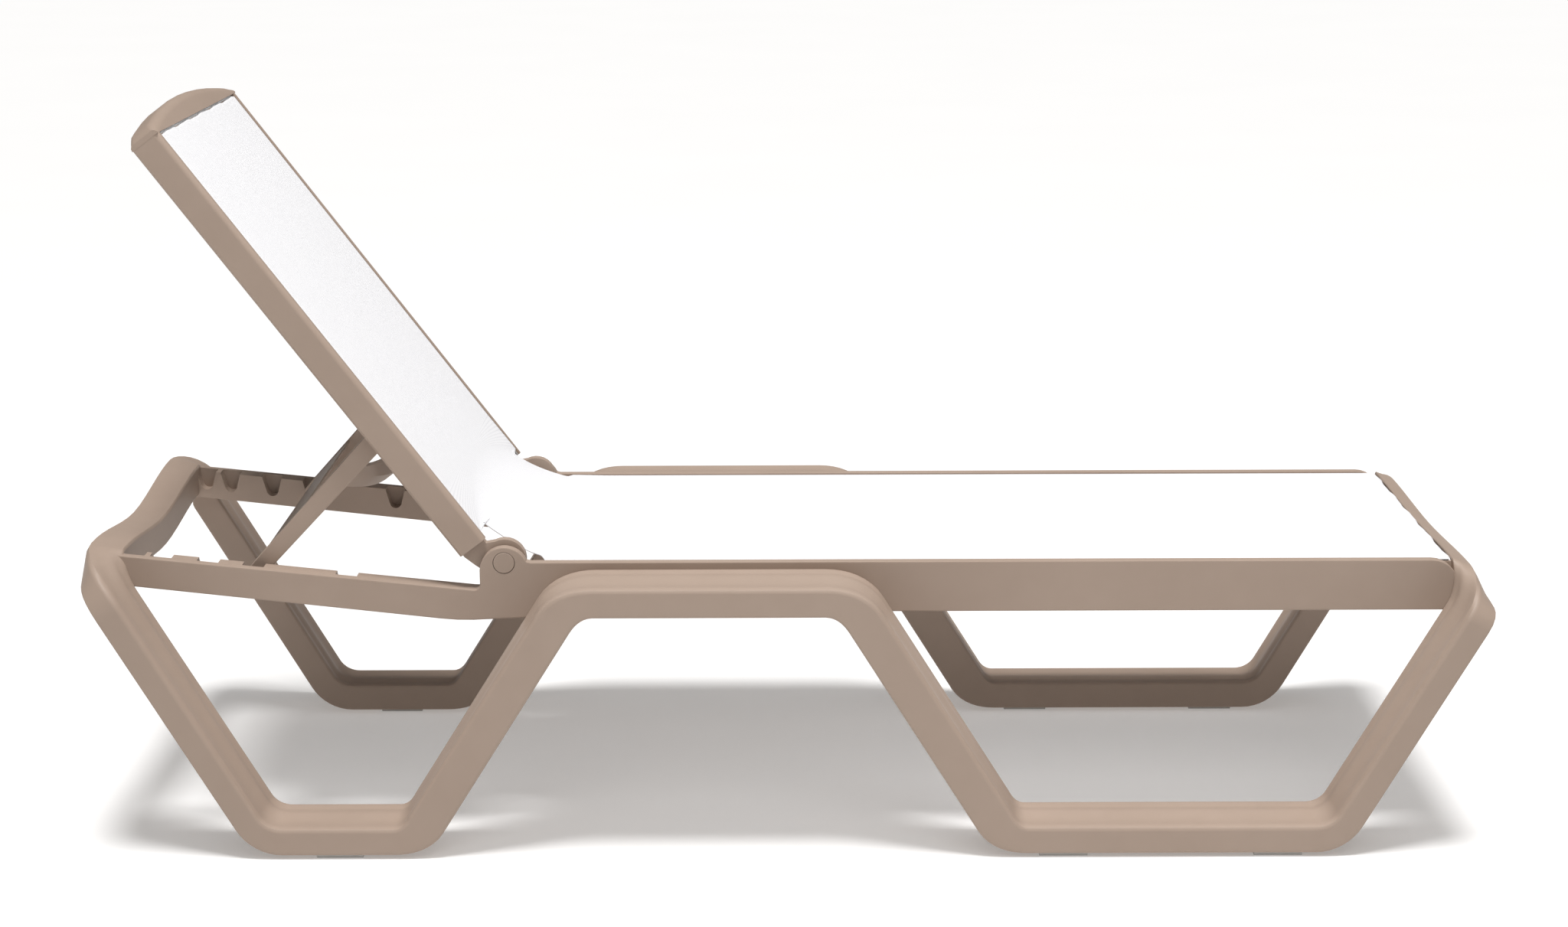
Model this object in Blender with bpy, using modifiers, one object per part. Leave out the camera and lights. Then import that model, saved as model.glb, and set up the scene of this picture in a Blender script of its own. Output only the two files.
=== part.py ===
"""Reclining sun lounger: a moulded plastic frame with two foot loops on each side, a hinged
backrest with a folding prop, and a woven fabric sling held by rods in the side grooves.

Metres, +Z up. X runs along the lounger, head end at -X and foot end at +X, Y across it.
The origin is on the ground under the middle of the frame.
"""
import math

import bmesh
import bpy
from mathutils import Matrix, Vector

GAP = 0.0003

# Overall frame
HALF_WIDTH = 0.355
HEAD_END = -0.9389
PAD_HEIGHT = 0.005

# Side rails, as distances from the middle plane
RAIL_OUTER = 0.262
RAIL_LIP = 0.2476
RAIL_INNER = 0.231
RAIL_TOP = 0.3865
RAIL_BOTTOM = 0.3165
SHOULDER_TOP = 0.3815
HEAD_RAIL_SLOPE = 0.1048

# Hinge of the backrest
HINGE = Vector((-0.377, 0.0, 0.386))
REST_ANGLE = math.radians(53.2)
PIN_RADIUS = 0.0143
PIN_GAP = 0.0006
RISER_RADIUS = 0.033

# Ribbon that forms the legs, feet and armrests
RIBBON_INNER = 0.2615
END_LEG = 0.040
MIDDLE_LEG = 0.054
FOOT_BAR = 0.041
ARM = 0.043
FOOT_MIDDLE = PAD_HEIGHT + FOOT_BAR / 2
ARM_MIDDLE = 0.356
FOOT_BEND = 0.052
GLIDE_PLACES = (("head", -0.630, -0.567), ("middle", 0.340, 0.405), ("foot", 0.628, 0.693))
ARM_BEND = 0.065

# Backrest, measured along it from the hinge and back from its front plane
BACK_OUTER = 0.2605
BACK_INNER = 0.2325
BACK_DEPTH = 0.042
BACK_START = 0.041
BACK_SLING_END = 0.7220
BACK_CORNER = 0.7350
BACK_CROWN = 0.7575
LUG_OUTER = 0.2465
LUG_RADIUS = 0.0290

# Prop
PROP_PIVOT_ALONG = 0.235
PROP_PIVOT_BACK = 0.022
PROP_FOOT = Vector((-0.7140, 0.0, 0.3680))
PROP_OUTER = 0.2300
PROP_INNER = 0.2130
PROP_WIDTH = 0.0250
PROP_PIN_RADIUS = 0.0060
BOW_WALL = 0.0048
BOW_EDGES = ((0.062, 0.030), (0.077, 0.050), (0.099, 0.046))
FOOT_WEB = (0.165, 0.235)
FOOT_WEB_DEPTH = (-0.0108, -0.0078)

# Notches in the head rails: distance of each mouth's middle from the origin
NOTCH_X = (-0.8755, -0.8395, -0.7770, -0.7160, -0.5910)
NOTCH_MOUTH = 0.0290
NOTCH_BOTTOM = 0.0180
NOTCH_DEPTH = 0.0290
NOTCH_BACK = 0.2500

# Sling, its rods and the tubes under the seat
SLING_THICKNESS = 0.0012
SLING_DROP = 0.0015
SEAT_ROD_HEIGHT = 0.3780
BRACE_PLACES = (("head", -0.255), ("foot", 0.420))
BRACE_RADIUS = 0.0110
BRACE_HEIGHT = 0.336
SLING_EDGE = 0.2470
SLING_NECK = 0.2150
ROD_RADIUS = 0.0025
SEAT_SLING_START = -0.3300
SEAT_SLING_END = 0.8960

PLASTIC = ("moulded_plastic", (0.345, 0.280, 0.228, 1.0), 0.55)
FABRIC = ("woven_fabric", (0.86, 0.86, 0.87, 1.0), 0.80)
GLIDE = ("glide_plastic", (0.42, 0.40, 0.38, 1.0), 0.60)
PLUG = ("plug_plastic", (0.10, 0.10, 0.105, 1.0), 0.50)
ROD = ("rod_plastic", (0.55, 0.55, 0.55, 1.0), 0.50)
TUBE = ("tube_metal", (0.60, 0.60, 0.60, 1.0), 0.35)


# ---------------------------------------------------------------- scene and helpers

def clear_scene():
    for old in list(bpy.data.objects):
        bpy.data.objects.remove(old, do_unlink=True)


def new_collection(name):
    found = bpy.data.collections.new(name)
    bpy.context.scene.collection.children.link(found)
    return found


def material(spec, suffix):
    name, colour, roughness = spec
    made = bpy.data.materials.new(name + "_" + suffix)
    made.use_nodes = True
    shader = made.node_tree.nodes["Principled BSDF"]
    shader.inputs["Base Color"].default_value = colour
    shader.inputs["Roughness"].default_value = roughness
    shader.inputs["Metallic"].default_value = 1.0 if spec is TUBE else 0.0
    made.diffuse_color = colour
    return made


def mesh_object(name, bm, collection, spec=None):
    bmesh.ops.recalc_face_normals(bm, faces=bm.faces)
    mesh = bpy.data.meshes.new(name)
    bm.to_mesh(mesh)
    bm.free()
    made = bpy.data.objects.new(name, mesh)
    collection.objects.link(made)
    if spec:
        mesh.materials.append(material(spec, name))
    for face in mesh.polygons:
        face.use_smooth = True
    mesh.set_sharp_from_angle(angle=math.radians(35))
    return made


def loft(bm, rings, closed_ends=True):
    """Join rings of equal length in order."""
    made = [[bm.verts.new(point) for point in ring] for ring in rings]
    count = len(made[0])
    for ring, following in zip(made, made[1:]):
        for i in range(count):
            j = (i + 1) % count
            bm.faces.new((ring[i], ring[j], following[j], following[i]))
    if closed_ends:
        bm.faces.new(list(reversed(made[0])))
        bm.faces.new(made[-1])
    return made


def prism(name, outline, low, high, collection, spec=None, bevel=0.0):
    """Outline of (x, z) points, extruded between two distances across the lounger."""
    bm = bmesh.new()
    loft(bm, [[(x, y, z) for x, z in outline] for y in (low, high)])
    made = mesh_object(name, bm, collection, spec)
    if bevel:
        soften(made, bevel)
    return made


def box(name, low, high, collection, spec=None, bevel=0.0):
    outline = [(low[0], low[2]), (high[0], low[2]), (high[0], high[2]), (low[0], high[2])]
    return prism(name, outline, low[1], high[1], collection, spec, bevel)


def rod(name, start, end, radius, collection, spec=None, sides=20):
    """Straight round bar between two points."""
    start = Vector(start)
    axis = Vector(end) - start
    turn = axis.to_track_quat("Z", "Y").to_matrix().to_4x4()
    bm = bmesh.new()
    bmesh.ops.create_cone(bm, cap_ends=True, segments=sides, radius1=radius, radius2=radius,
                          depth=axis.length,
                          matrix=Matrix.Translation(start + axis / 2) @ turn)
    return mesh_object(name, bm, collection, spec)


def soften(target, width, segments=2, angle=50.0):
    edge = target.modifiers.new("soft_edges", "BEVEL")
    edge.width = width
    edge.segments = segments
    edge.limit_method = "ANGLE"
    edge.angle_limit = math.radians(angle)
    edge.use_clamp_overlap = True
    bake(target)


def bake(target):
    """Turn the modifiers into plain mesh."""
    bpy.context.view_layer.update()
    graph = bpy.context.evaluated_depsgraph_get()
    fresh = bpy.data.meshes.new_from_object(target.evaluated_get(graph))
    target.modifiers.clear()
    target.data = fresh


def combine(target, others, operation="UNION"):
    for other in others:
        step = target.modifiers.new(operation.lower(), "BOOLEAN")
        step.operation = operation
        step.object = other
        step.solver = "EXACT"
    bake(target)
    for other in others:
        bpy.data.objects.remove(other, do_unlink=True)
    for face in target.data.polygons:
        face.use_smooth = True
    target.data.set_sharp_from_angle(angle=math.radians(32))
    return target


def arc(centre, radius, start, end, steps):
    """Points on a circle, angles in degrees."""
    angles = [math.radians(start + (end - start) * i / steps) for i in range(steps + 1)]
    return [(centre[0] + radius * math.cos(a), centre[1] + radius * math.sin(a)) for a in angles]


def ease(t):
    return t * t * (3 - 2 * t)


def bezier(p0, p1, p2, p3, t):
    s = 1 - t
    return p0 * s ** 3 + p1 * (3 * s * s * t) + p2 * (3 * s * t * t) + p3 * t ** 3


# ---------------------------------------------------------------- main frame

# Across the ribbon's top: (share of the width from the rail, drop below the surface).
# An inner lip, a narrow groove, a rib, a broad shallow dish and a rounded outer edge.
TOP_PROFILE = ((0.000, 0.0045), (0.012, 0.0016), (0.045, 0.0002), (0.10, 0.0), (0.17, 0.0014),
               (0.23, 0.0020), (0.29, 0.0008), (0.36, 0.0), (0.44, 0.0006), (0.53, 0.0026),
               (0.64, 0.0044), (0.76, 0.0042), (0.86, 0.0028), (0.93, 0.0030), (0.975, 0.0046),
               (0.993, 0.0068), (1.000, 0.0100))
BOTTOM_PROFILE = ((1.000, 0.0040), (0.988, 0.0012), (0.955, 0.0), (0.045, 0.0), (0.012, 0.0012),
                  (0.000, 0.0040))


def ribbon_ring(quad, relief=1.0):
    """Ring of points from the four corners of a section: bottom and top at the rail side,
    then top and bottom at the outer side."""
    bottom_in, top_in, top_out, bottom_out = quad
    ring = []
    for share, drop in TOP_PROFILE:
        top = top_in.lerp(top_out, share)
        bottom = bottom_in.lerp(bottom_out, share)
        edge = min(share, 1 - share)
        depth = drop if edge < 0.04 else drop * relief
        ring.append(top + (bottom - top).normalized() * depth)
    for share, rise in BOTTOM_PROFILE:
        top = top_in.lerp(top_out, share)
        bottom = bottom_in.lerp(bottom_out, share)
        ring.append(bottom + (top - bottom).normalized() * rise)
    return ring


def side_stations(points, bends, sizes, steps):
    """Middle line of the ribbon in side view with round bends: (x, z), direction, thickness."""
    stations = []
    for i in range(1, len(points) - 1):
        before = (Vector(points[i]) - Vector(points[i - 1])).normalized()
        after = (Vector(points[i + 1]) - Vector(points[i])).normalized()
        turn = before.angle_signed(after)
        reach = bends[i - 1] * math.tan(abs(turn) / 2)
        entry = Vector(points[i]) - before * reach
        for k in range(steps + 1):
            part = k / steps
            angle = -turn * part
            rotated = Matrix.Rotation(angle, 2) @ before
            side = Vector((-before.y, before.x)) * (1 if -turn > 0 else -1)
            centre = entry + side * bends[i - 1]
            place = centre - (Matrix.Rotation(angle, 2) @ side) * bends[i - 1]
            size = sizes[i - 1] + (sizes[i] - sizes[i - 1]) * ease(part)
            stations.append((place, rotated, size))
    return stations


def section(place, direction, size):
    """Quad of a station on the near side; the loop's inside is to the left of travel."""
    up = Vector((-direction.y, direction.x))
    low = place - up * size / 2
    high = place + up * size / 2
    return [Vector((low.x, -RIBBON_INNER, low.y)), Vector((high.x, -RIBBON_INNER, high.y)),
            Vector((high.x, -HALF_WIDTH, high.y)), Vector((low.x, -HALF_WIDTH, low.y))]


def head_crossbar(y):
    """Section of the head crossbar; it dips towards the middle."""
    rise = ease(min(abs(y) / 0.235, 1.0))
    outer = 0.3920 + 0.0200 * rise
    inner = 0.3860 + 0.0170 * rise
    return [Vector((-0.8885, y, inner - 0.043)), Vector((-0.8885, y, inner)),
            Vector((-0.9360, y, outer)), Vector((HEAD_END, y, outer - 0.043))]


def foot_crossbar(y):
    """Section of the foot crossbar; its middle is a little lower too."""
    rise = ease(min(abs(y) / 0.235, 1.0))
    inner = 0.3815 + 0.0050 * rise
    outer = 0.3690 + 0.0060 * rise
    return [Vector((0.8970, y, inner - 0.045)), Vector((0.8970, y, inner)),
            Vector((0.9250, y, outer)), Vector((0.9370, y, outer - 0.040))]


def corner(leg, bar, direction, reach_out, reach_in, steps):
    """Sections that turn the top of a leg into the start of a crossbar."""
    rings = []
    climb = Vector((direction.x, 0.0, direction.y))
    across = Vector((0.0, 1.0, 0.0))
    for k in range(1, steps):
        t = k / steps
        quad = []
        for i, (start, end) in enumerate(zip(leg, bar)):
            reach = reach_in if i < 2 else reach_out
            quad.append(bezier(start, start + climb * reach, end - across * reach, end, t))
        rings.append(quad)
    return rings


def ribbon_half():
    """Near half of the ring: head crossbar, loops and armrest, foot crossbar."""
    foot, arm = FOOT_MIDDLE, ARM_MIDDLE
    points = [(-0.8869, 0.340), (-0.6895 - 0.5804 * foot, foot), (-0.5128 + 0.6275 * foot, foot),
              (-0.5128 + 0.6275 * arm, arm), (0.3122 - 0.6250 * arm, arm),
              (0.3122 - 0.6250 * foot, foot), (0.7253 + 0.5710 * foot, foot), (0.9080, 0.320)]
    bends = (FOOT_BEND, FOOT_BEND, ARM_BEND, ARM_BEND, FOOT_BEND, FOOT_BEND)
    sizes = (END_LEG, FOOT_BAR, MIDDLE_LEG, ARM, MIDDLE_LEG, FOOT_BAR, END_LEG)
    down = (Vector(points[1]) - Vector(points[0])).normalized()
    climb = (Vector(points[7]) - Vector(points[6])).normalized()
    head_leg = section(Vector(points[0]), down, END_LEG)
    foot_leg = section(Vector(points[7]), climb, END_LEG)

    head_start, foot_start = -0.245, -0.245
    quads = []
    for y in (0.0, -0.035, -0.075, -0.115, -0.150, -0.185, -0.215):
        quads.append((head_crossbar(y), 0.0))
    bar = head_crossbar(head_start)
    quads.append((bar, 0.0))
    turned = corner(head_leg, bar, -down, 0.055, 0.018, 9)
    for k, quad in enumerate(reversed(turned)):
        quads.append((quad, (k + 1) / 9))
    quads.append((head_leg, 1.0))
    for station in side_stations(points, bends, sizes, 8):
        quads.append((section(*station), 1.0))
    quads.append((foot_leg, 1.0))
    bar = foot_crossbar(foot_start)
    for k, quad in enumerate(corner(foot_leg, bar, climb, 0.045, 0.018, 9)):
        quads.append((quad, 1 - (k + 1) / 9))
    quads.append((bar, 0.0))
    for y in (-0.215, -0.185, -0.150, -0.115, -0.075, -0.035, 0.0):
        quads.append((foot_crossbar(y), 0.0))
    return [ribbon_ring(quad, relief) for quad, relief in quads]


def ribbon(collection):
    bm = bmesh.new()
    loft(bm, ribbon_half(), closed_ends=False)
    made = mesh_object("ribbon", bm, collection)
    mirror = made.modifiers.new("far_half", "MIRROR")
    mirror.use_axis = (False, True, False)
    mirror.use_bisect_axis = (False, False, False)
    mirror.merge_threshold = 0.0001
    bake(made)
    return made


def head_rail_top(x):
    return 0.3485 + HEAD_RAIL_SLOPE * (-x - 0.4195)


def rail_bottom():
    return [(0.905, RAIL_BOTTOM), (-0.130, RAIL_BOTTOM), (-0.320, 0.3105), (-0.420, 0.3062),
            (-0.442, 0.3064), (-0.462, 0.3080), (-0.8735, 0.3543), (-0.900, 0.3570)]


def outer_rail_outline():
    """Side view of the rail's outer wall, with the riser round the hinge pin."""
    riser = (HINGE.x, HINGE.z - 0.0115)
    wall = riser[0] - RISER_RADIUS
    foot = 0.008
    root = head_rail_top(wall - foot)
    outline = [(-0.900, head_rail_top(-0.900))]
    outline += arc((wall - foot, root + foot), foot, 270, 360, 4)
    outline += arc(riser, RISER_RADIUS, 180, 24, 16)
    outline += [(-0.3415, RAIL_TOP)]
    outline += arc((0.868, RAIL_TOP - 0.037), 0.037, 90, 12, 6)
    return outline + rail_bottom()


def inner_rail_outline():
    """Side view of the rail's inner wall: lower along the seat, and open round the lug."""
    outline = [(-0.900, head_rail_top(-0.900)), (-0.420, head_rail_top(-0.420))]
    outline += [(-0.3960, 0.3475)]
    outline += arc((HINGE.x, HINGE.z), 0.0405, 250, 352, 8)
    outline += [(-0.3330, SHOULDER_TOP), (0.897, SHOULDER_TOP)]
    return outline + rail_bottom()


def notch_outline(x, top):
    """Tapered U with a round bottom, open at the top."""
    radius = NOTCH_BOTTOM / 2
    lip = NOTCH_MOUTH / 2
    middle = top - NOTCH_DEPTH + radius
    outline = [(x + lip, top + 0.02), (x + lip, top - 0.001)]
    outline += arc((x, middle), radius, -8, -172, 8)
    return outline + [(x - lip, top - 0.001), (x - lip, top + 0.02)]


def side_rail(side, collection):
    """One side rail: outer wall, inner wall with the sling groove, and the notches."""
    tag = "near" if side < 0 else "far"
    outer = prism("rail_" + tag, outer_rail_outline(), side * 0.2470, side * RAIL_OUTER,
                  collection, bevel=0.0022)
    inner = prism("inner_wall_" + tag, inner_rail_outline(), side * RAIL_INNER, side * 0.2485,
                  collection, bevel=0.0012)
    combine(outer, [inner])
    cutters = []
    groove_in, groove_out = RAIL_LIP - 0.0072, RAIL_LIP
    cutters.append(box("groove_" + tag, (-0.325, min(side * groove_in, side * groove_out), 0.3745),
                       (0.893, max(side * groove_in, side * groove_out), 0.3900), collection))
    for i, x in enumerate(NOTCH_X):
        top = head_rail_top(x)
        low, high = sorted((side * (RAIL_INNER - 0.004), side * NOTCH_BACK))
        cutters.append(prism("notch_%s_%d" % (tag, i), notch_outline(x, top), low, high, collection))
    cutters.append(rod("bore_" + tag, (HINGE.x, side * 0.22, HINGE.z),
                       (HINGE.x, side * 0.28, HINGE.z), PIN_RADIUS + PIN_GAP, collection, sides=48))
    combine(outer, cutters, "DIFFERENCE")
    return outer


def main_frame(parts, cutters):
    frame = ribbon(parts)
    frame.name = "main_frame"
    frame.data.materials.clear()
    frame.data.materials.append(material(PLASTIC, "main_frame"))
    ledge = box("foot_ledge", (0.8800, -0.2400, 0.3400), (0.9000, 0.2400, 0.3745), cutters, bevel=0.001)
    rails = [side_rail(-1, cutters), side_rail(1, cutters)]
    combine(frame, rails + [ledge])
    return frame


# ---------------------------------------------------------------- backrest

def back_pivot():
    """Empty on the hinge line: its +X runs up the backrest, +Y to the near side."""
    empty = bpy.data.objects.new("backrest_pivot", None)
    empty.location = HINGE
    empty.rotation_euler = (0.0, -REST_ANGLE, math.pi)
    bpy.context.scene.collection.objects.link(empty)
    bpy.context.view_layer.update()
    return empty


def hang(target, pivot):
    target.parent = pivot
    return target


def crossbar_section(y, corner_share):
    """Top bar of the backrest, seen from the side: flat towards the sling, rounded above."""
    crown = BACK_CORNER + (BACK_CROWN - BACK_CORNER) * (1 - corner_share ** 2)
    front, back = 0.0003, -BACK_DEPTH - 0.0003
    end = crown - 0.006 * max(0.0, corner_share - 0.92) / 0.08
    room = end - BACK_SLING_END - 0.001
    front_bend, back_bend = min(0.014, room), min(0.008, room)
    outline = [(BACK_SLING_END, back), (BACK_SLING_END, front - 0.0005)]
    outline += arc((end - front_bend, front - front_bend), front_bend, 90, 0, 6)
    outline += arc((end - back_bend, back + back_bend), back_bend, 0, -90, 3)
    return [(x, y, z) for x, z in outline]


def back_rail_section():
    """Across and deep: front lip with a round outer edge, a shoulder and a rod groove."""
    lip, outer, inner = RAIL_LIP, BACK_OUTER, BACK_INNER
    points = [(lip, -0.0005), (outer - 0.0075, 0.0)]
    points += [(outer - 0.0075 + 0.0075 * math.sin(a), -0.0075 + 0.0075 * math.cos(a))
               for a in (math.radians(d) for d in (18, 36, 54, 72, 90))]
    points += [(outer, -BACK_DEPTH + 0.003), (outer - 0.003, -BACK_DEPTH)]
    points += [(inner + 0.001, -BACK_DEPTH), (inner, -BACK_DEPTH + 0.001), (inner, -0.0050)]
    points += [(lip - 0.0072, -0.0050), (lip - 0.0072, -0.0120), (lip, -0.0120)]
    return points


def back_rail(side, collection):
    bm = bmesh.new()
    rings = []
    for x in (BACK_START, BACK_CORNER - 0.010):
        rings.append([(x, side * y, z) for y, z in back_rail_section()])
    loft(bm, rings)
    return mesh_object("back_rail_%d" % side, bm, collection)


def lug_outline():
    """Tongue that reaches from the rail to the hinge pin, wide at the rail."""
    back = -BACK_DEPTH + 0.0006
    outline = [(0.075, back), (0.075, -0.0135), (0.0405, -0.0135), (0.0405, -0.0058), (0.034, -0.0058)]
    outline += arc((0.0, 0.0), LUG_RADIUS, 10, 262, 20)
    outline += [(0.018, -0.0365), (0.036, back)]
    return outline


def lug(side, collection):
    low, high = sorted((side * (BACK_INNER + 0.0003), side * LUG_OUTER))
    return prism("lug_%d" % side, lug_outline(), low, high, collection, bevel=0.001)


def backrest_frame(pivot, parts, cutters):
    bm = bmesh.new()
    shares = (-1.0, -0.985, -0.955, -0.90, -0.8, -0.6, -0.4, -0.2, 0.0,
              0.2, 0.4, 0.6, 0.8, 0.90, 0.955, 0.985, 1.0)
    loft(bm, [crossbar_section(s * (BACK_OUTER + 0.0002), abs(s)) for s in shares])
    frame = mesh_object("backrest_frame", bm, parts, PLASTIC)
    brace = rod("back_brace", (0.105, -BACK_INNER - 0.004, -0.030),
                (0.105, BACK_INNER + 0.004, -0.030), 0.0095, cutters, sides=20)
    pieces = [back_rail(s, cutters) for s in (-1, 1)] + [lug(s, cutters) for s in (-1, 1)] + [brace]
    combine(frame, pieces)
    holes = []
    for side in (-1, 1):
        holes.append(rod("pin_bore_%d" % side, (0.0, side * 0.22, 0.0), (0.0, side * 0.27, 0.0),
                         PIN_RADIUS + GAP, cutters, sides=48))
        holes.append(rod("prop_bore_%d" % side, (PROP_PIVOT_ALONG, side * 0.225, -PROP_PIVOT_BACK),
                         (PROP_PIVOT_ALONG, side * 0.2500, -PROP_PIVOT_BACK),
                         PROP_PIN_RADIUS + GAP, cutters, sides=24))
    holes.append(box("top_slot", (BACK_SLING_END - 0.004, -0.2400, -0.0085),
                     (BACK_SLING_END + 0.0040, 0.2400, -0.0012), cutters))
    combine(frame, holes, "DIFFERENCE")
    return hang(frame, pivot)


# ---------------------------------------------------------------- prop

def prop_pivot():
    """Empty on the prop's pivot line: its +X runs down the prop to its foot."""
    along = Vector((-math.cos(REST_ANGLE), 0.0, math.sin(REST_ANGLE)))
    behind = Vector((-math.sin(REST_ANGLE), 0.0, -math.cos(REST_ANGLE)))
    place = HINGE + along * PROP_PIVOT_ALONG + behind * PROP_PIVOT_BACK
    reach = PROP_FOOT - place
    empty = bpy.data.objects.new("prop_pivot", None)
    empty.location = place
    empty.rotation_euler = (0.0, math.pi - math.atan2(-reach.z, -reach.x), 0.0)
    bpy.context.scene.collection.objects.link(empty)
    bpy.context.view_layer.update()
    return empty, reach.length


def prop_arm_outline(length):
    """Flat arm with round ends, seen from the side."""
    radius = PROP_WIDTH / 2
    outline = arc((0.0, 0.0), radius + 0.0015, 90, 270, 12)
    outline += arc((length, 0.0), radius - 0.0015, -90, 90, 10)
    return outline


def prop_bow(y):
    """Section of the bowed cross web, which swings away from the sling in the middle."""
    bow = 1 - (abs(y) / PROP_INNER) ** 2
    surface = PROP_WIDTH / 2 - 0.0010
    outer = [(along, surface + swing * bow) for along, swing in BOW_EDGES]
    inner = [(along, depth - BOW_WALL) for along, depth in reversed(outer)]
    return [(x, y, z) for x, z in outer + inner]


def prop(pivot, length, parts, cutters):
    bm = bmesh.new()
    shares = [-1.01 + 2.02 * i / 16 for i in range(17)]
    loft(bm, [prop_bow(s * PROP_INNER) for s in shares])
    made = mesh_object("prop_stay", bm, parts, PLASTIC)
    arms = []
    for side in (-1, 1):
        low, high = sorted((side * (PROP_INNER - 0.001), side * PROP_OUTER))
        arms.append(prism("prop_arm_%d" % side, prop_arm_outline(length), low, high, cutters,
                          bevel=0.0015))
    arms.append(box("prop_foot_web", (FOOT_WEB[0], -PROP_INNER - 0.001, FOOT_WEB_DEPTH[0]),
                    (FOOT_WEB[1], PROP_INNER + 0.001, FOOT_WEB_DEPTH[1]), cutters, bevel=0.0010))
    combine(made, arms)
    holes = [rod("prop_hole_%d" % s, (0.0, s * 0.205, 0.0), (0.0, s * 0.235, 0.0),
                 PROP_PIN_RADIUS + GAP, cutters, sides=24) for s in (-1, 1)]
    combine(made, holes, "DIFFERENCE")
    return hang(made, pivot)


# ---------------------------------------------------------------- pins, sling, small pieces

def hinge_pins(parts):
    for side, tag in ((-1, "near"), (1, "far")):
        rod("hinge_pin_" + tag, (HINGE.x, side * (BACK_INNER + 0.0005), HINGE.z),
            (HINGE.x, side * (RAIL_OUTER + 0.0004), HINGE.z), PIN_RADIUS, parts, PLASTIC, sides=48)


def prop_pins(pivot, parts):
    for side, tag in ((1, "near"), (-1, "far")):
        made = rod("prop_pin_" + tag, (PROP_PIVOT_ALONG, side * (PROP_INNER - 0.001), -PROP_PIVOT_BACK),
                   (PROP_PIVOT_ALONG, side * 0.2495, -PROP_PIVOT_BACK), PROP_PIN_RADIUS,
                   parts, TUBE, sides=24)
        hang(made, pivot)


def plate_outline(points, top, bottom, name, collection, spec):
    """Flat sheet with a plan outline of (x, y) points."""
    bm = bmesh.new()
    loft(bm, [[(x, y, z) for x, y in points] for z in (bottom, top)])
    return mesh_object(name, bm, collection, spec)


def seat_sling(parts):
    """Cloth between the rails, with a narrow neck that passes between the hinge lugs."""
    e, n = SLING_EDGE, SLING_NECK
    start, neck, end = SEAT_SLING_START + 0.010, HINGE.x + 0.014, SEAT_SLING_END
    points = [(neck, -n), (start - 0.006, -n), (start, -e), (end, -e), (end, e), (start, e),
              (start - 0.006, n), (neck, n)]
    top = RAIL_TOP - SLING_DROP
    return plate_outline(points, top, top - SLING_THICKNESS, "seat_sling", parts, FABRIC)


def back_sling(pivot, parts):
    e, n = SLING_EDGE, SLING_NECK
    points = [(0.014, -n), (0.044, -n), (0.050, -e), (BACK_SLING_END - 0.0005, -e),
              (BACK_SLING_END - 0.0005, e), (0.050, e), (0.044, n), (0.014, n)]
    made = plate_outline(points, -0.0012, -0.0012 - SLING_THICKNESS, "back_sling", parts, FABRIC)
    return hang(made, pivot)


def sling_rods(pivot, parts):
    """Rods in the hems: one in each groove and one across each end."""
    across = RAIL_LIP - 0.0036
    for side, tag in ((-1, "near"), (1, "far")):
        rod("seat_rod_" + tag, (-0.3120, side * across, SEAT_ROD_HEIGHT),
            (0.8780, side * across, SEAT_ROD_HEIGHT), ROD_RADIUS, parts, ROD, sides=12)
        made = rod("back_rod_" + tag, (0.060, -side * across, -0.0085),
                   (0.712, -side * across, -0.0085), ROD_RADIUS, parts, ROD, sides=12)
        hang(made, pivot)
    rod("foot_rod", (0.8885, -0.2300, 0.3785), (0.8885, 0.2300, 0.3785), ROD_RADIUS, parts, ROD, sides=12)
    made = rod("head_rod", (BACK_SLING_END + 0.0005, -0.2340, -0.0053),
               (BACK_SLING_END + 0.0005, 0.2340, -0.0053), ROD_RADIUS, parts, ROD, sides=12)
    hang(made, pivot)


def groove_plugs(pivot, parts):
    """Plugs that close the hinge end of each rod groove."""
    low, high = RAIL_LIP - 0.0069, RAIL_LIP - GAP
    for side, tag in ((-1, "near"), (1, "far")):
        y0, y1 = sorted((side * low, side * high))
        box("seat_groove_plug_" + tag, (-0.3247, y0, 0.3748), (-0.3140, y1, 0.3828), parts, PLUG, 0.0006)
        y0, y1 = sorted((-side * low, -side * high))
        made = box("back_groove_plug_" + tag, (0.0415, y0, -0.0117), (0.0580, y1, -0.0030), parts, GLIDE,
                   0.0006)
        hang(made, pivot)


def foot_glides(parts):
    """Thin pads under the foot bars."""
    for side, tag in ((-1, "near"), (1, "far")):
        y0, y1 = sorted((side * 0.272, side * 0.348))
        for name, x0, x1 in GLIDE_PLACES:
            box("%s_glide_%s" % (name, tag), (x0, y0, 0.0), (x1, y1, PAD_HEIGHT - GAP),
                parts, GLIDE, 0.0008)


def seat_braces(parts):
    """Tubes under the seat that keep the rails apart against the pull of the sling."""
    for name, x in BRACE_PLACES:
        rod("seat_brace_" + name, (x, -RAIL_INNER + GAP, BRACE_HEIGHT),
            (x, RAIL_INNER - GAP, BRACE_HEIGHT), BRACE_RADIUS, parts, TUBE, sides=24)


def build():
    clear_scene()
    parts = new_collection("sun_lounger")
    cutters = new_collection("shapes_joined_or_cut")
    main_frame(parts, cutters)
    pivot = back_pivot()
    backrest_frame(pivot, parts, cutters)
    stay, length = prop_pivot()
    prop(stay, length, parts, cutters)
    hinge_pins(parts)
    prop_pins(pivot, parts)
    seat_sling(parts)
    back_sling(pivot, parts)
    sling_rods(pivot, parts)
    groove_plugs(pivot, parts)
    foot_glides(parts)
    seat_braces(parts)


build()
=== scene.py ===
"""Looks of the reclining sun lounger: smooth moulded plastic, a stretched woven sling, a pale floor."""
import math

import bpy
from mathutils import Matrix, Vector

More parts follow.
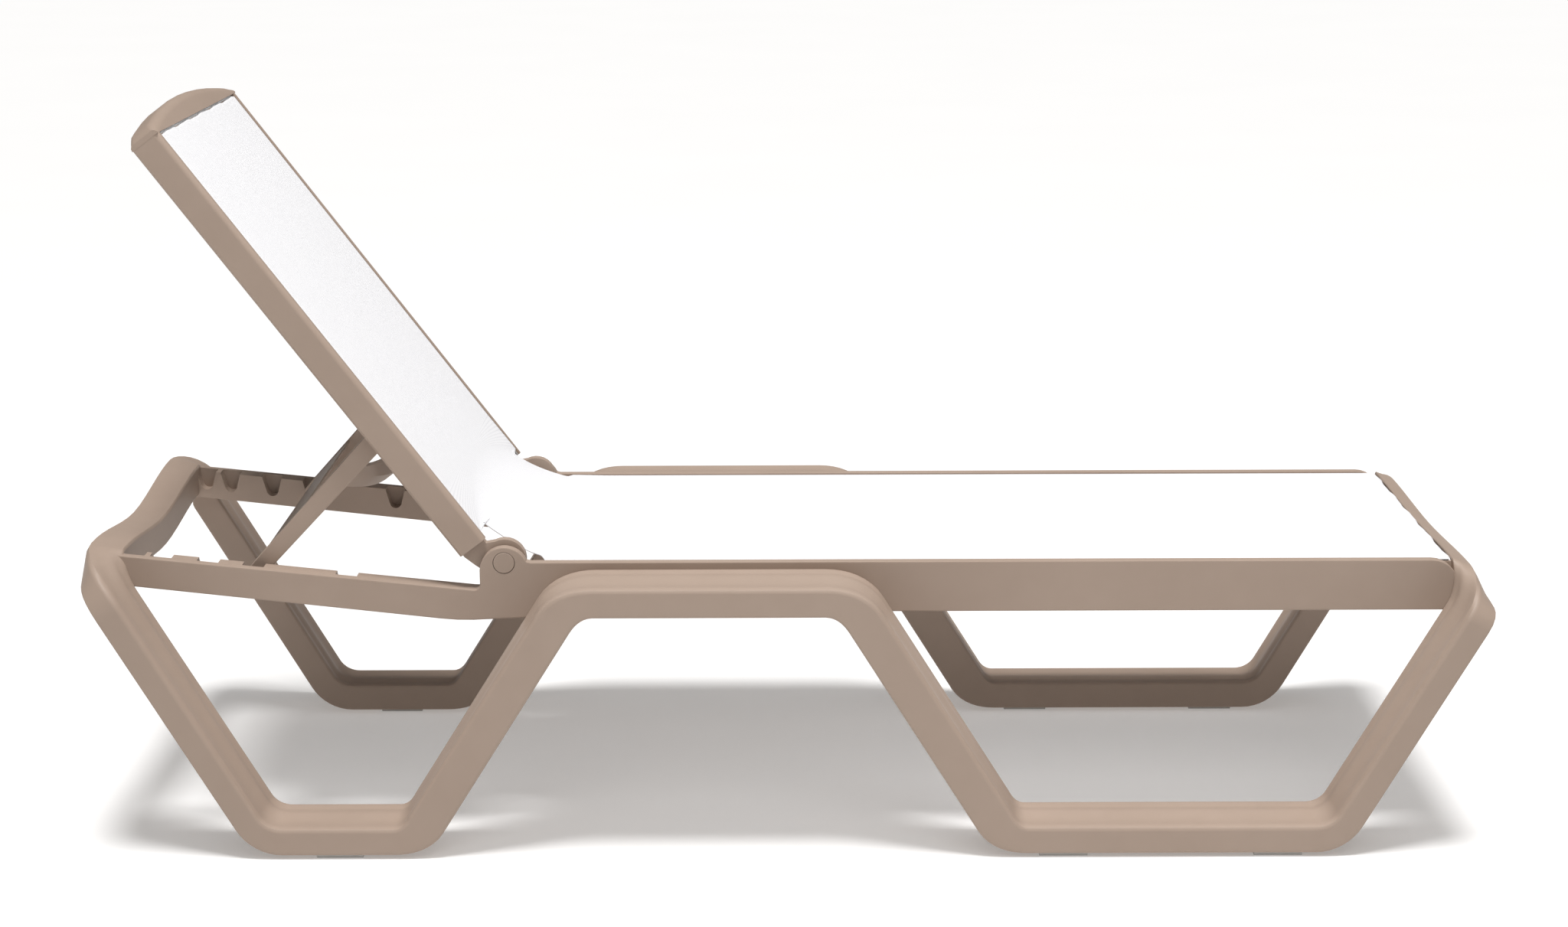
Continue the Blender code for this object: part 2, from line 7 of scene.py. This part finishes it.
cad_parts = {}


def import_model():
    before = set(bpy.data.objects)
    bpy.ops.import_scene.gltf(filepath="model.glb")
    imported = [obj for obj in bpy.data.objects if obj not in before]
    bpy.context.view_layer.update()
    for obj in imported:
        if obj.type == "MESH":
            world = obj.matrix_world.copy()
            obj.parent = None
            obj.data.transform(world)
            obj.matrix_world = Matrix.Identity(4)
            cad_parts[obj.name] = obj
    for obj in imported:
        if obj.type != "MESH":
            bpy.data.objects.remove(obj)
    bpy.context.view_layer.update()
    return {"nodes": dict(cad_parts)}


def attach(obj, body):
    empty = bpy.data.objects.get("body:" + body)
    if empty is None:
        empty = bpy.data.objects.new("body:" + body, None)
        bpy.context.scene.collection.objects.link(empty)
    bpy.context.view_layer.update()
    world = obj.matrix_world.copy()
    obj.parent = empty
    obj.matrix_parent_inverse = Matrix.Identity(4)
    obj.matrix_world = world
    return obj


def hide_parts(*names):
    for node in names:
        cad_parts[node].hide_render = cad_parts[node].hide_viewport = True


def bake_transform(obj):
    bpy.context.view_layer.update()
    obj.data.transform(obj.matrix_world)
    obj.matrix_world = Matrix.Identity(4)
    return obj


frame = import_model()

# ---------------------------------------------------------------- sizes, in metres

HINGE = Vector((-0.377, 0.0, 0.386))
BACK_ANGLE = math.radians(53.2)
UP_BACK = Vector((-math.cos(BACK_ANGLE), 0.0, math.sin(BACK_ANGLE)))
OUT_OF_BACK = Vector((math.sin(BACK_ANGLE), 0.0, math.cos(BACK_ANGLE)))

SEAT_CLOTH_TOP = 0.3850
BACK_CLOTH_TOP = -0.0012
CLOTH_THICKNESS = 0.0011
CLOTH_EDGE = 0.2468
BACK_CLOTH_END = 0.7198
SEAT_CLOTH_END = 0.8955
BACK_GROOVE_END = 0.050
SEAT_GROOVE_END = -0.3200
NECK_AT_BACK = 0.2095
NECK_AT_SEAT = 0.2270
NECK_BACK_EDGE = -0.400
NECK_LENGTH = 0.062
BACK_CUT = 0.010
SEAT_CUT = 0.018

# Where the cloth leaves the flat of the backrest and of the seat, measured from the hinge
BEND_REACH_MIDDLE = 0.105
BEND_REACH_EDGE = 0.052
BEND_SEAT_EXTRA = 0.004
BEND_ROWS_REACH = 0.112
HEM_LENGTH = 0.0035
HEM_ROWS = 8
BACK_ROWS = 70
BEND_ROWS = 48
SEAT_ROWS = 120
CLOTH_COLUMNS = 56
EDGE_DIP = 0.0016
EDGE_DIP_WIDTH = 0.0050
END_DIP = 0.0022
END_DIP_LENGTH = 0.0032
END_WAVE_REACH = 0.020
BACK_WAVES = ((0.0011, 61.0, 0.6), (0.0006, 143.0, 0.0))
SEAT_WAVES = ((0.0011, 57.0, 2.1), (0.0005, 131.0, 0.0))

CAMERA_PLACE = (0.0043, -3.840, 1.3696)
CAMERA_PITCH = 0.2326
CAMERA_YAW = -0.0014
CAMERA_ROLL = -0.0035
LENS = 63.51


# ---------------------------------------------------------------- small helpers

def clear_selection():
    if bpy.context.object and bpy.context.object.mode != "OBJECT":
        bpy.ops.object.mode_set(mode="OBJECT")
    bpy.ops.object.select_all(action="DESELECT")


def pick(piece):
    clear_selection()
    piece.select_set(True)
    bpy.context.view_layer.objects.active = piece


def shade_smooth(piece, degrees):
    pick(piece)
    bpy.ops.object.shade_smooth_by_angle(angle=math.radians(degrees))


def apply_all(piece):
    pick(piece)
    for step in list(piece.modifiers):
        bpy.ops.object.modifier_apply(modifier=step.name)


def dress(piece, finish):
    piece.data.materials.clear()
    piece.data.materials.append(finish)


def smooth_copy(node, name, body, finish, degrees=30.0, round_over=0.0):
    """The CAD node's shape as one welded mesh with smooth shading, standing for the node."""
    mesh = frame["nodes"][node].data.copy()
    mesh.name = name
    piece = bpy.data.objects.new(name, mesh)
    bpy.context.scene.collection.objects.link(piece)
    pick(piece)
    bpy.ops.object.mode_set(mode="EDIT")
    bpy.ops.mesh.select_all(action="SELECT")
    bpy.ops.mesh.remove_doubles(threshold=0.00002)
    bpy.ops.mesh.customdata_custom_splitnormals_clear()
    bpy.ops.mesh.select_all(action="SELECT")
    bpy.ops.mesh.dissolve_limited(angle_limit=math.radians(0.2))
    bpy.ops.object.mode_set(mode="OBJECT")
    if round_over:
        bevel = piece.modifiers.new("round_over", "BEVEL")
        bevel.width = round_over
        bevel.segments = 3
        bevel.limit_method = "ANGLE"
        bevel.angle_limit = math.radians(degrees + 8)
        bevel.harden_normals = False
    shade_smooth(piece, degrees)
    weight = piece.modifiers.new("even_normals", "WEIGHTED_NORMAL")
    weight.keep_sharp = True
    weight.weight = 100
    apply_all(piece)
    dress(piece, finish)
    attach(piece, body)
    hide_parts(node)
    return piece


# ---------------------------------------------------------------- finishes

def new_group(name, inputs, outputs):
    group = bpy.data.node_groups.new(name, "ShaderNodeTree")
    for label, kind, value in inputs:
        socket = group.interface.new_socket(label, in_out="INPUT", socket_type=kind)
        if value is not None:
            socket.default_value = value
    for label, kind in outputs:
        group.interface.new_socket(label, in_out="OUTPUT", socket_type=kind)
    return group, group.nodes.new("NodeGroupInput"), group.nodes.new("NodeGroupOutput")


def noise(tree, vector, scale, detail=2.0, roughness=0.5):
    node = tree.nodes.new("ShaderNodeTexNoise")
    node.inputs["Scale"].default_value = scale
    node.inputs["Detail"].default_value = detail
    node.inputs["Roughness"].default_value = roughness
    tree.links.new(vector, node.inputs["Vector"])
    return node.outputs["Fac"]


def maths(tree, operation, a, b=None, c=None):
    node = tree.nodes.new("ShaderNodeMath")
    node.operation = operation
    for i, value in enumerate((a, b, c)):
        if value is None:
            continue
        if isinstance(value, (int, float)):
            node.inputs[i].default_value = value
        else:
            tree.links.new(value, node.inputs[i])
    return node.outputs[0]


def spread(tree, value, low, high, to_low, to_high):
    node = tree.nodes.new("ShaderNodeMapRange")
    node.inputs["From Min"].default_value = low
    node.inputs["From Max"].default_value = high
    node.inputs["To Min"].default_value = to_low
    node.inputs["To Max"].default_value = to_high
    tree.links.new(value, node.inputs["Value"])
    return node.outputs["Result"]


def mix_colour(tree, fac, a, b, blend="MIX"):
    node = tree.nodes.new("ShaderNodeMix")
    node.data_type = "RGBA"
    node.blend_type = blend
    for socket, value in ((node.inputs[0], fac), (node.inputs[6], a), (node.inputs[7], b)):
        if isinstance(value, (int, float, tuple)):
            socket.default_value = value
        else:
            tree.links.new(value, socket)
    return node.outputs[2]


def moulded_grain():
    """Fine spark-eroded texture of a moulded surface, with slow flow marks in tone."""
    group, start, end = new_group(
        "moulded_grain",
        [("Vector", "NodeSocketVector", None), ("Grain Size", "NodeSocketFloat", 1.0)],
        [("Height", "NodeSocketFloat"), ("Tone", "NodeSocketFloat"), ("Fleck", "NodeSocketFloat")])
    scaled = group.nodes.new("ShaderNodeVectorMath")
    scaled.operation = "SCALE"
    group.links.new(start.outputs["Vector"], scaled.inputs[0])
    group.links.new(start.outputs["Grain Size"], scaled.inputs["Scale"])
    fine = noise(group, scaled.outputs[0], 1400.0, 2.0, 0.6)
    broad = noise(group, scaled.outputs[0], 420.0, 2.0, 0.5)
    height = maths(group, "MULTIPLY_ADD", broad, 0.5, fine)
    slow = noise(group, start.outputs["Vector"], 4.5, 3.0, 0.55)
    streak = noise(group, start.outputs["Vector"], 26.0, 2.0, 0.5)
    tone = maths(group, "MULTIPLY_ADD", streak, 0.4, slow)
    group.links.new(height, end.inputs["Height"])
    group.links.new(tone, end.inputs["Tone"])
    group.links.new(fine, end.inputs["Fleck"])
    return group


def object_coordinates(tree):
    return tree.nodes.new("ShaderNodeTexCoord").outputs["Object"]


def principled(name, roughness, specular=0.5):
    finish = bpy.data.materials.new(name)
    finish.use_nodes = True
    shader = finish.node_tree.nodes["Principled BSDF"]
    shader.inputs["Roughness"].default_value = roughness
    shader.inputs["Specular IOR Level"].default_value = specular
    return finish, finish.node_tree, shader


def moulded_plastic(name, grain, dark, light, rough_low, rough_high, bump, specular=0.35, size=1.0):
    finish, tree, shader = principled(name, rough_high, specular)
    node = tree.nodes.new("ShaderNodeGroup")
    node.node_tree = grain
    node.inputs["Grain Size"].default_value = size
    tree.links.new(object_coordinates(tree), node.inputs["Vector"])
    tone = spread(tree, node.outputs["Tone"], 0.45, 0.95, 0.0, 1.0)
    colour = mix_colour(tree, tone, dark, light)
    fleck = spread(tree, node.outputs["Fleck"], 0.3, 0.7, 0.0, 0.10)
    colour = mix_colour(tree, fleck, colour, light)
    tree.links.new(colour, shader.inputs["Base Color"])
    tree.links.new(spread(tree, node.outputs["Fleck"], 0.3, 0.7, rough_low, rough_high),
                   shader.inputs["Roughness"])
    bump_node = tree.nodes.new("ShaderNodeBump")
    bump_node.inputs["Strength"].default_value = bump
    bump_node.inputs["Distance"].default_value = 0.0004
    tree.links.new(node.outputs["Height"], bump_node.inputs["Height"])
    tree.links.new(bump_node.outputs["Normal"], shader.inputs["Normal"])
    return finish


def woven_mesh():
    """Plain weave of coated round yarns: warp and weft cross over and under."""
    group, start, end = new_group(
        "woven_mesh",
        [("Vector", "NodeSocketVector", None), ("Yarns", "NodeSocketFloat", 700.0)],
        [("Height", "NodeSocketFloat"), ("Cover", "NodeSocketFloat"), ("Tone", "NodeSocketFloat")])
    scaled = group.nodes.new("ShaderNodeVectorMath")
    scaled.operation = "SCALE"
    group.links.new(start.outputs["Vector"], scaled.inputs[0])
    group.links.new(start.outputs["Yarns"], scaled.inputs["Scale"])
    split = group.nodes.new("ShaderNodeSeparateXYZ")
    group.links.new(scaled.outputs[0], split.inputs[0])
    across, along = split.outputs["X"], split.outputs["Y"]
    warp = maths(group, "ABSOLUTE", maths(group, "SINE", maths(group, "MULTIPLY", across, math.pi)))
    weft = maths(group, "ABSOLUTE", maths(group, "SINE", maths(group, "MULTIPLY", along, math.pi)))
    over = maths(group, "FLOOR", across)
    under = maths(group, "FLOOR", along)
    checker = maths(group, "PINGPONG", maths(group, "ADD", over, under), 1.0)
    side = maths(group, "SUBTRACT", 1.0, checker)
    upper = maths(group, "MULTIPLY", warp, maths(group, "MULTIPLY_ADD", checker, 0.5, 0.5))
    lower = maths(group, "MULTIPLY", weft, maths(group, "MULTIPLY_ADD", side, 0.5, 0.5))
    height = maths(group, "MAXIMUM", upper, lower)
    group.links.new(height, end.inputs["Height"])
    cover = spread(group, maths(group, "MAXIMUM", warp, weft), 0.25, 0.75, 0.0, 1.0)
    group.links.new(cover, end.inputs["Cover"])
    uneven = noise(group, start.outputs["Vector"], 260.0, 3.0, 0.7)
    group.links.new(uneven, end.inputs["Tone"])
    return group


def sling_cloth(weave):
    finish, tree, shader = principled("sling_cloth", 0.62, 0.30)
    shader.inputs["Sheen Weight"].default_value = 0.15
    shader.inputs["Sheen Roughness"].default_value = 0.5
    uv = tree.nodes.new("ShaderNodeUVMap")
    uv.uv_map = "cloth"
    node = tree.nodes.new("ShaderNodeGroup")
    node.node_tree = weave
    node.inputs["Yarns"].default_value = 620.0
    tree.links.new(uv.outputs["UV"], node.inputs["Vector"])
    base = mix_colour(tree, node.outputs["Cover"], (0.615, 0.610, 0.630, 1.0), (0.845, 0.838, 0.848, 1.0))
    tone = spread(tree, node.outputs["Tone"], 0.35, 0.65, 0.0, 0.22)
    colour = mix_colour(tree, tone, base, (0.72, 0.715, 0.735, 1.0))
    tree.links.new(colour, shader.inputs["Base Color"])
    bump = tree.nodes.new("ShaderNodeBump")
    bump.inputs["Strength"].default_value = 0.35
    bump.inputs["Distance"].default_value = 0.0005
    tree.links.new(node.outputs["Height"], bump.inputs["Height"])
    tree.links.new(bump.outputs["Normal"], shader.inputs["Normal"])
    return finish


def drawn_metal(name, grain):
    finish, tree, shader = principled(name, 0.35)
    shader.inputs["Metallic"].default_value = 1.0
    node = tree.nodes.new("ShaderNodeGroup")
    node.node_tree = grain
    tree.links.new(object_coordinates(tree), node.inputs["Vector"])
    tone = spread(tree, node.outputs["Tone"], 0.45, 0.95, 0.0, 1.0)
    tree.links.new(mix_colour(tree, tone, (0.50, 0.50, 0.51, 1.0), (0.66, 0.66, 0.66, 1.0)),
                   shader.inputs["Base Color"])
    tree.links.new(spread(tree, node.outputs["Fleck"], 0.3, 0.7, 0.28, 0.42), shader.inputs["Roughness"])
    return finish


GRAIN = moulded_grain()
TAUPE = moulded_plastic("taupe_plastic", GRAIN, (0.345, 0.262, 0.208, 1.0), (0.375, 0.287, 0.230, 1.0),
                        0.46, 0.60, 0.10)
PIN_TAUPE = moulded_plastic("pin_plastic", GRAIN, (0.335, 0.255, 0.203, 1.0), (0.362, 0.278, 0.223, 1.0),
                            0.48, 0.60, 0.10)
PALE_PAD = moulded_plastic("glide_rubber", GRAIN, (0.50, 0.49, 0.47, 1.0), (0.56, 0.55, 0.53, 1.0),
                           0.60, 0.75, 0.15)
DARK_PLUG = moulded_plastic("dark_plug", GRAIN, (0.075, 0.075, 0.08, 1.0), (0.11, 0.11, 0.115, 1.0),
                            0.40, 0.55, 0.10)
GREY_TAB = moulded_plastic("grey_tab", GRAIN, (0.30, 0.29, 0.28, 1.0), (0.36, 0.35, 0.34, 1.0),
                           0.50, 0.62, 0.10)
ROD_PLASTIC = moulded_plastic("rod_plastic", GRAIN, (0.50, 0.50, 0.50, 1.0), (0.60, 0.60, 0.60, 1.0),
                              0.45, 0.60, 0.06)
TUBE = drawn_metal("brace_tube", GRAIN)
CLOTH = sling_cloth(woven_mesh())


# ---------------------------------------------------------------- moulded pieces

smooth_copy("main_frame", "frame_moulding", "root", TAUPE)
smooth_copy("backrest_frame", "backrest_moulding", "backrest", TAUPE)
smooth_copy("prop_stay", "prop_moulding", "prop", TAUPE)
for side in ("near", "far"):
    smooth_copy("hinge_pin_" + side, "hinge_pin_cap_" + side, "root", PIN_TAUPE,
                round_over=0.0008)
    smooth_copy("prop_pin_" + side, "prop_pivot_pin_" + side, "backrest", TUBE)
    smooth_copy("seat_groove_plug_" + side, "seat_groove_end_plug_" + side, "root",
                DARK_PLUG)
    smooth_copy("back_groove_plug_" + side, "back_groove_end_tab_" + side, "backrest",
                GREY_TAB)
    smooth_copy("seat_rod_" + side, "seat_hem_rod_" + side, "root", ROD_PLASTIC)
    smooth_copy("back_rod_" + side, "back_hem_rod_" + side, "backrest", ROD_PLASTIC)
    for place in ("head", "middle", "foot"):
        smooth_copy("%s_glide_%s" % (place, side), "%s_floor_glide_%s" % (place, side),
                    "root", PALE_PAD)
smooth_copy("foot_rod", "foot_hem_rod", "root", ROD_PLASTIC)
smooth_copy("head_rod", "head_hem_rod", "backrest", ROD_PLASTIC)
smooth_copy("seat_brace_head", "seat_spreader_head", "root", TUBE)
smooth_copy("seat_brace_foot", "seat_spreader_foot", "root", TUBE)


# ---------------------------------------------------------------- sling

def ease(t):
    t = min(max(t, 0.0), 1.0)
    return t * t * (3 - 2 * t)


def back_point(along, out=0.0):
    return HINGE + UP_BACK * along + OUT_OF_BACK * (BACK_CLOTH_TOP + out)


def bend_point(share, t):
    """Cloth past the hinge, t 0 at the backrest and 1 at the seat; share is 0 in the middle, 1 at an edge."""
    reach = BEND_REACH_MIDDLE + (BEND_REACH_EDGE - BEND_REACH_MIDDLE) * share ** 2
    start = back_point(reach)
    end = Vector((HINGE.x + reach + BEND_SEAT_EXTRA, 0.0, SEAT_CLOTH_TOP))
    pull = reach * (0.42 + 0.10 * (1 - share))
    first = start - UP_BACK * pull
    last = end - Vector((pull, 0.0, 0.0))
    s = 1 - t
    return start * s ** 3 + first * (3 * s * s * t) + last * (3 * s * t * t) + end * t ** 3


def steps_between(start, end, count):
    return [start + (end - start) * i / count for i in range(count)]


def cloth_rows():
    """Stations down the cloth: the stretch they belong to and a place or share along it."""
    top = BACK_CLOTH_END - HEM_LENGTH
    low = SEAT_CLOTH_END - HEM_LENGTH
    rows = [("back", value) for value in steps_between(BACK_CLOTH_END, top, HEM_ROWS)]
    rows += [("back", value) for value in steps_between(top, BEND_ROWS_REACH, BACK_ROWS)]
    rows += [("bend", i / BEND_ROWS) for i in range(BEND_ROWS + 1)]
    rows += [("seat", value) for value in steps_between(HINGE.x + BEND_ROWS_REACH, low, SEAT_ROWS)[1:]]
    rows += [("seat", value) for value in steps_between(low, SEAT_CLOTH_END, HEM_ROWS)]
    return rows + [("seat", SEAT_CLOTH_END)]


def half_width(row, place):
    """Half the cloth's width: it is cut back where it passes the hinge."""
    along = (place - HINGE).dot(UP_BACK)
    if row[0] == "back" or (row[0] == "bend" and along > BACK_GROOVE_END - 1.2 * BACK_CUT):
        cut = ease((BACK_GROOVE_END + 0.001 - along) / BACK_CUT)
        return CLOTH_EDGE + (NECK_AT_BACK - CLOTH_EDGE) * cut
    if place.x > SEAT_GROOVE_END - SEAT_CUT:
        cut = ease((SEAT_GROOVE_END - place.x) / SEAT_CUT)
        return CLOTH_EDGE + (NECK_AT_SEAT - CLOTH_EDGE) * cut
    neck_share = ease((place.x - NECK_BACK_EDGE) / NECK_LENGTH)
    return NECK_AT_BACK + (NECK_AT_SEAT - NECK_AT_BACK) * neck_share


def cloth_middles(rows):
    """The cloth's middle line, and the length of cloth down to each station."""
    middles = []
    for kind, value in rows:
        if kind == "back":
            middles.append(back_point(value))
        elif kind == "seat":
            middles.append(Vector((value, 0.0, SEAT_CLOTH_TOP)))
        else:
            middles.append(bend_point(0.0, value))
    lengths = [0.0]
    for one, two in zip(middles, middles[1:]):
        lengths.append(lengths[-1] + (two - one).length)
    return middles, lengths


def wavy_end(y, waves):
    """How far a hemmed end runs in or out: waves are (height, waves per metre x 2 pi, start)."""
    return sum(height * math.sin(y * rate + start) for height, rate, start in waves)


def cloth_place(row, middle, column_share):
    """One point of the cloth's upper face; column_share runs from -1 to 1 across it."""
    kind, value = row
    share = math.copysign(1 - (1 - abs(column_share)) ** 1.15, column_share)
    if kind == "bend":
        place = bend_point(abs(share), value)
        y = share * half_width(row, place)
        place = bend_point(abs(y) / CLOTH_EDGE, value)
        place.y = y
        return place
    place = middle.copy()
    y = share * half_width(row, place)
    place.y = y
    dip = EDGE_DIP * (1 - ease((CLOTH_EDGE - abs(y)) / EDGE_DIP_WIDTH))
    if kind == "back":
        to_end = BACK_CLOTH_END - value
        place += UP_BACK * (wavy_end(y, BACK_WAVES) * ease(1 - to_end / END_WAVE_REACH))
    else:
        to_end = SEAT_CLOTH_END - value
        place.x += wavy_end(y, SEAT_WAVES) * ease(1 - to_end / END_WAVE_REACH)
    dip += END_DIP * (1 - ease(to_end / END_DIP_LENGTH))
    normal = OUT_OF_BACK if kind == "back" else Vector((0, 0, 1))
    return place - normal * dip


def sling():
    rows = cloth_rows()
    middles, lengths = cloth_middles(rows)
    clear_selection()
    bpy.ops.mesh.primitive_grid_add(x_subdivisions=CLOTH_COLUMNS, y_subdivisions=len(rows) - 1, size=1.0)
    cloth = bpy.context.object
    cloth.name = "sling_cloth_sheet"
    cloth.data.name = "sling_cloth_sheet"
    mesh = cloth.data
    order = sorted(range(len(mesh.vertices)),
                   key=lambda i: (round(mesh.vertices[i].co.y, 5), round(mesh.vertices[i].co.x, 5)))
    uv_of = {}
    for place_in_grid, index in enumerate(order):
        r, c = divmod(place_in_grid, CLOTH_COLUMNS + 1)
        point = cloth_place(rows[r], middles[r], 2.0 * c / CLOTH_COLUMNS - 1.0)
        mesh.vertices[index].co = point
        uv_of[index] = (point.y, lengths[r])
    layer = mesh.uv_layers.active or mesh.uv_layers.new(name="cloth")
    layer.name = "cloth"
    for loop in mesh.loops:
        layer.data[loop.index].uv = uv_of[loop.vertex_index]
    mesh.update()
    pick(cloth)
    bpy.ops.object.mode_set(mode="EDIT")
    bpy.ops.mesh.select_all(action="SELECT")
    bpy.ops.mesh.normals_make_consistent(inside=False)
    bpy.ops.object.mode_set(mode="OBJECT")
    if sum(face.normal.z * face.area for face in mesh.polygons) < 0:
        mesh.flip_normals()
    solid = cloth.modifiers.new("thickness", "SOLIDIFY")
    solid.thickness = CLOTH_THICKNESS
    solid.offset = -1.0
    apply_all(cloth)
    shade_smooth(cloth, 40.0)
    dress(cloth, CLOTH)
    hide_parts("seat_sling", "back_sling")
    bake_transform(cloth)


sling()


# ---------------------------------------------------------------- room, light, camera

def floor():
    finish, tree, shader = principled("pale_floor", 0.55, 0.2)
    tone = spread(tree, noise(tree, object_coordinates(tree), 1.3, 2.0), 0.3, 0.7, 0.0, 1.0)
    tree.links.new(mix_colour(tree, tone, (0.745, 0.740, 0.735, 1.0), (0.755, 0.750, 0.745, 1.0)),
                   shader.inputs["Base Color"])
    shader.inputs["Emission Color"].default_value = (1.0, 0.985, 0.965, 1.0)
    shader.inputs["Emission Strength"].default_value = 0.27
    clear_selection()
    bpy.ops.mesh.primitive_plane_add(size=120.0, location=(0.0, 0.0, 0.0))
    ground = bpy.context.object
    ground.name = "studio_floor"
    dress(ground, finish)


def area_light(name, place, target, size_x, size_y, power, colour=(1.0, 1.0, 1.0)):
    lamp = bpy.data.lights.new(name, "AREA")
    lamp.shape = "RECTANGLE"
    lamp.size = size_x
    lamp.size_y = size_y
    lamp.energy = power
    lamp.color = colour
    made = bpy.data.objects.new(name, lamp)
    made.location = place
    made.rotation_euler = (Vector(target) - Vector(place)).to_track_quat("-Z", "Y").to_euler()
    bpy.context.scene.collection.objects.link(made)


def sun_light(name, towards, strength, width):
    """Broad distant light from that direction; width in degrees sets how soft its shadows are."""
    lamp = bpy.data.lights.new(name, "SUN")
    lamp.energy = strength
    lamp.angle = math.radians(width)
    made = bpy.data.objects.new(name, lamp)
    made.rotation_euler = (-Vector(towards)).to_track_quat("-Z", "Y").to_euler()
    bpy.context.scene.collection.objects.link(made)


def world(strength):
    sky = bpy.data.worlds.new("studio_air")
    bpy.context.scene.world = sky
    sky.use_nodes = True
    background = sky.node_tree.nodes["Background"]
    background.inputs["Color"].default_value = (1.0, 1.0, 1.0, 1.0)
    background.inputs["Strength"].default_value = strength


def camera():
    lens = bpy.data.cameras.new("view")
    lens.lens = LENS
    lens.sensor_width = 36.0
    lens.clip_end = 200.0
    made = bpy.data.objects.new("view", lens)
    bpy.context.scene.collection.objects.link(made)
    away = Vector((math.sin(CAMERA_YAW) * math.cos(CAMERA_PITCH),
                   math.cos(CAMERA_YAW) * math.cos(CAMERA_PITCH), -math.sin(CAMERA_PITCH)))
    right = Vector((math.cos(CAMERA_YAW), -math.sin(CAMERA_YAW), 0.0))
    up = right.cross(away)
    r = right * math.cos(CAMERA_ROLL) + up * math.sin(CAMERA_ROLL)
    u = up * math.cos(CAMERA_ROLL) - right * math.sin(CAMERA_ROLL)
    turn = Matrix((r, u, -away)).transposed().to_4x4()
    made.matrix_world = Matrix.Translation(CAMERA_PLACE) @ turn
    bpy.context.scene.camera = made


floor()
world(0.10)
sun_light("high_sun", (0.0, -0.17, 1.0), 3.1, 14.0)
area_light("overhead", (0.45, -0.30, 2.2), (0.15, 0.0, 0.0), 2.6, 1.6, 16.0)
area_light("front_high", (0.3, -2.9, 3.0), (0.0, -0.2, 0.3), 3.2, 1.2, 24.0)
camera()
bpy.context.scene.view_settings.view_transform = "Standard"
